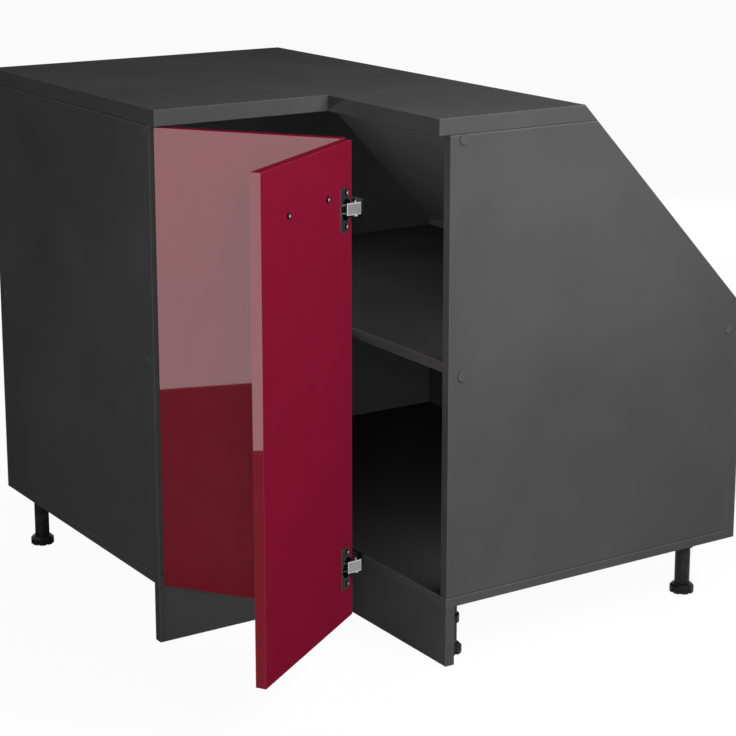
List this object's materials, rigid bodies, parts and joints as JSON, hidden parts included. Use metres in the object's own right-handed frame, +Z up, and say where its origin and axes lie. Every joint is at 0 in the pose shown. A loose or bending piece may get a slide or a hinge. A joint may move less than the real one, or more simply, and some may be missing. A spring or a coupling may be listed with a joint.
{
  "type": "corner kitchen base cabinet",
  "caption": "L-shaped corner base cabinet with a rear cut to a roof slope, a folding pair of red doors on concealed hinges, a shelf, plinths and adjustable legs.",
  "frame": {"origin": "corner of the room at floor level, where the two wall planes behind the cabinet meet the floor", "axes": "+X along the rear wall under the slope, to the right; +Y into the rear wall, so the fronts face +X and -Y; +Z up"},
  "size_m": [1.0125, 0.9689, 0.84],
  "materials": {
    "top_laminate": "satin laminate",
    "board_laminate": "satin laminate",
    "back_skin": "satin hardboard",
    "cleat_laminate": "satin laminate",
    "plinth_laminate": "satin laminate",
    "door_front": "high gloss lacquer",
    "cap_plastic": "satin",
    "screw_steel": "zinc plated",
    "pin_steel": "nickel plated",
    "clip_plastic": "matt",
    "cup_steel": "nickel plated",
    "link_steel": "nickel plated",
    "arm_steel": "nickel plated",
    "plate_steel": "nickel plated",
    "handle_steel": "brushed",
    "leg_plastic": "satin",
    "foot_plastic": "satin"
  },
  "bodies": {
    "carcass": {"top_board": "top_laminate", "left_end_panel": "board_laminate", "right_end_panel": "board_laminate", "left_back_board": "board_laminate", "bottom_board": "board_laminate", "shelf": "board_laminate", "sloped_back_panel": "back_skin", "lower_back_panel": "back_skin", "left_cleat": "cleat_laminate", "right_cleat": "cleat_laminate", "left_plinth": "plinth_laminate", "right_plinth": "plinth_laminate", "cover_caps": "cap_plastic", "cleat_screws": "screw_steel", "shelf_pin_screws": "screw_steel", "base_screws": "screw_steel", "back_panel_screws": "screw_steel", "leg_screws": "screw_steel", "shelf_pins": "pin_steel", "plinth_clips": "clip_plastic", "swing_plate_screws": "screw_steel", "leg_left_rear": "leg_plastic", "leg_left_front": "leg_plastic", "leg_corner_front": "leg_plastic", "leg_corner_rear": "leg_plastic", "leg_right_front": "leg_plastic", "leg_right_rear": "leg_plastic", "swing_hinge_arm_lower": "arm_steel", "swing_hinge_plate_lower": "plate_steel", "swing_hinge_arm_upper": "arm_steel", "swing_hinge_plate_upper": "plate_steel"},
    "left_door": {"left_door": "door_front", "swing_cup_screws": "screw_steel", "fold_plate_screws": "screw_steel", "swing_hinge_cup_lower": "cup_steel", "fold_hinge_arm_lower": "arm_steel", "fold_hinge_plate_lower": "plate_steel", "swing_hinge_cup_upper": "cup_steel", "fold_hinge_arm_upper": "arm_steel", "fold_hinge_plate_upper": "plate_steel"},
    "right_door": {"right_door": "door_front", "fold_cup_screws": "screw_steel", "handle": "handle_steel", "handle_screws": "screw_steel", "fold_hinge_cup_lower": "cup_steel", "fold_hinge_cup_upper": "cup_steel"},
    "swing_links": {"swing_hinge_link_lower": "link_steel", "swing_hinge_link_upper": "link_steel"},
    "fold_links": {"fold_hinge_link_lower": "link_steel", "fold_hinge_link_upper": "link_steel"},
    "foot_left_rear": {"foot_left_rear": "foot_plastic"},
    "foot_left_front": {"foot_left_front": "foot_plastic"},
    "foot_corner_front": {"foot_corner_front": "foot_plastic"},
    "foot_corner_rear": {"foot_corner_rear": "foot_plastic"},
    "foot_right_front": {"foot_right_front": "foot_plastic"},
    "foot_right_rear": {"foot_right_rear": "foot_plastic"}
  },
  "joints": [
    {"name": "door_swing", "type": "hinge", "parent": "carcass", "child": "left_door", "pos_m": [0.5964, -0.8898, 0.448], "axis": [0, 0, -1], "range_deg": [-54, 56]},
    {"name": "door_fold", "type": "hinge", "parent": "left_door", "child": "right_door", "pos_m": [0.83279, -0.72349, 0.448], "axis": [0, 0, -1], "range_deg": [-2, 58]},
    {"name": "swing_link_turn", "type": "hinge", "parent": "carcass", "child": "swing_links", "pos_m": [0.5964, -0.8898, 0.448], "axis": [0, 0, -1], "range_deg": [-27, 28]},
    {"name": "fold_link_turn", "type": "hinge", "parent": "left_door", "child": "fold_links", "pos_m": [0.83279, -0.72349, 0.448], "axis": [0, 0, -1], "range_deg": [-1, 29]},
    {"name": "foot_height_left_rear", "type": "slide", "parent": "carcass", "child": "foot_left_rear", "axis": [0, 0, -1], "range_m": [0, 0.02]},
    {"name": "foot_height_left_front", "type": "slide", "parent": "carcass", "child": "foot_left_front", "axis": [0, 0, -1], "range_m": [0, 0.02]},
    {"name": "foot_height_corner_front", "type": "slide", "parent": "carcass", "child": "foot_corner_front", "axis": [0, 0, -1], "range_m": [0, 0.02]},
    {"name": "foot_height_corner_rear", "type": "slide", "parent": "carcass", "child": "foot_corner_rear", "axis": [0, 0, -1], "range_m": [0, 0.02]},
    {"name": "foot_height_right_front", "type": "slide", "parent": "carcass", "child": "foot_right_front", "axis": [0, 0, -1], "range_m": [0, 0.02]},
    {"name": "foot_height_right_rear", "type": "slide", "parent": "carcass", "child": "foot_right_rear", "axis": [0, 0, -1], "range_m": [0, 0.02]}
  ],
  "couplings": [
    {"joint": "swing_link_turn", "follows": "door_swing", "ratio": 0.5},
    {"joint": "fold_link_turn", "follows": "door_fold", "ratio": 0.5}
  ]
}
